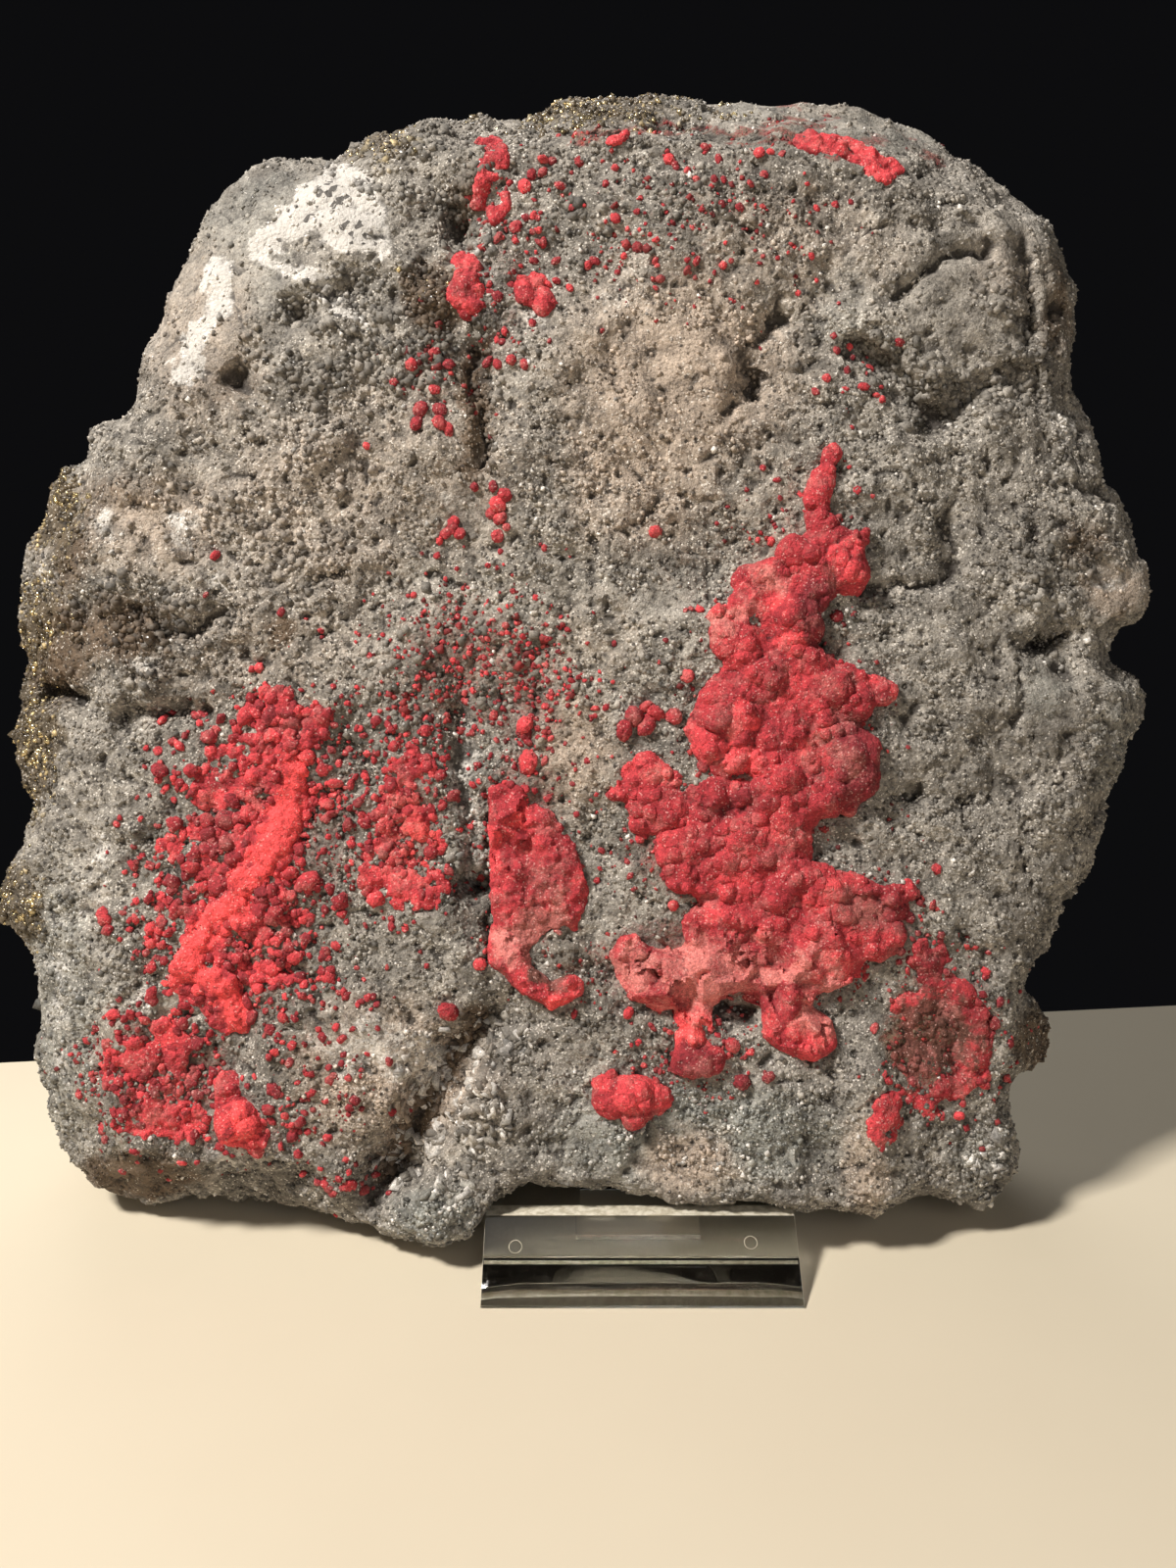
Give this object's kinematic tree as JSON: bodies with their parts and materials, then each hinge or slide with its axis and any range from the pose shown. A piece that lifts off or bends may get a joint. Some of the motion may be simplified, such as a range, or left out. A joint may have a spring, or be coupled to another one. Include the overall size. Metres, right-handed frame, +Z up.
{
  "type": "cinnabar on matrix",
  "caption": "Display mineral specimen: a slab of grey rock with red cinnabar crusts on its broken face, leaning in a clear bent-sheet stand.",
  "frame": {"origin": "on the floor under the middle of the whole object's box", "axes": "+Z up, +X to the right as seen from the front, -Y towards the viewer, out of the face with the crusts"},
  "size_m": [0.2774, 0.134, 0.259],
  "materials": {
    "grey_rock": "rough, granular and sparkling",
    "cinnabar": "matt, fine grained",
    "clear_sheet": "clear and polished, with a frosted cut edge"
  },
  "bodies": {
    "root": {"matrix": "grey_rock", "display_stand": "clear_sheet", "cinnabar_right_vein": "cinnabar", "cinnabar_lower_right": "cinnabar", "cinnabar_centre": "cinnabar", "cinnabar_mid_left": "cinnabar", "cinnabar_left_streak": "cinnabar", "cinnabar_left_corner": "cinnabar", "cinnabar_left_nodules": "cinnabar", "cinnabar_foot_nodules": "cinnabar", "cinnabar_fissure_top": "cinnabar", "cinnabar_fissure_side": "cinnabar", "cinnabar_top_knob": "cinnabar", "cinnabar_top_edge": "cinnabar"}
  },
  "joints": []
}
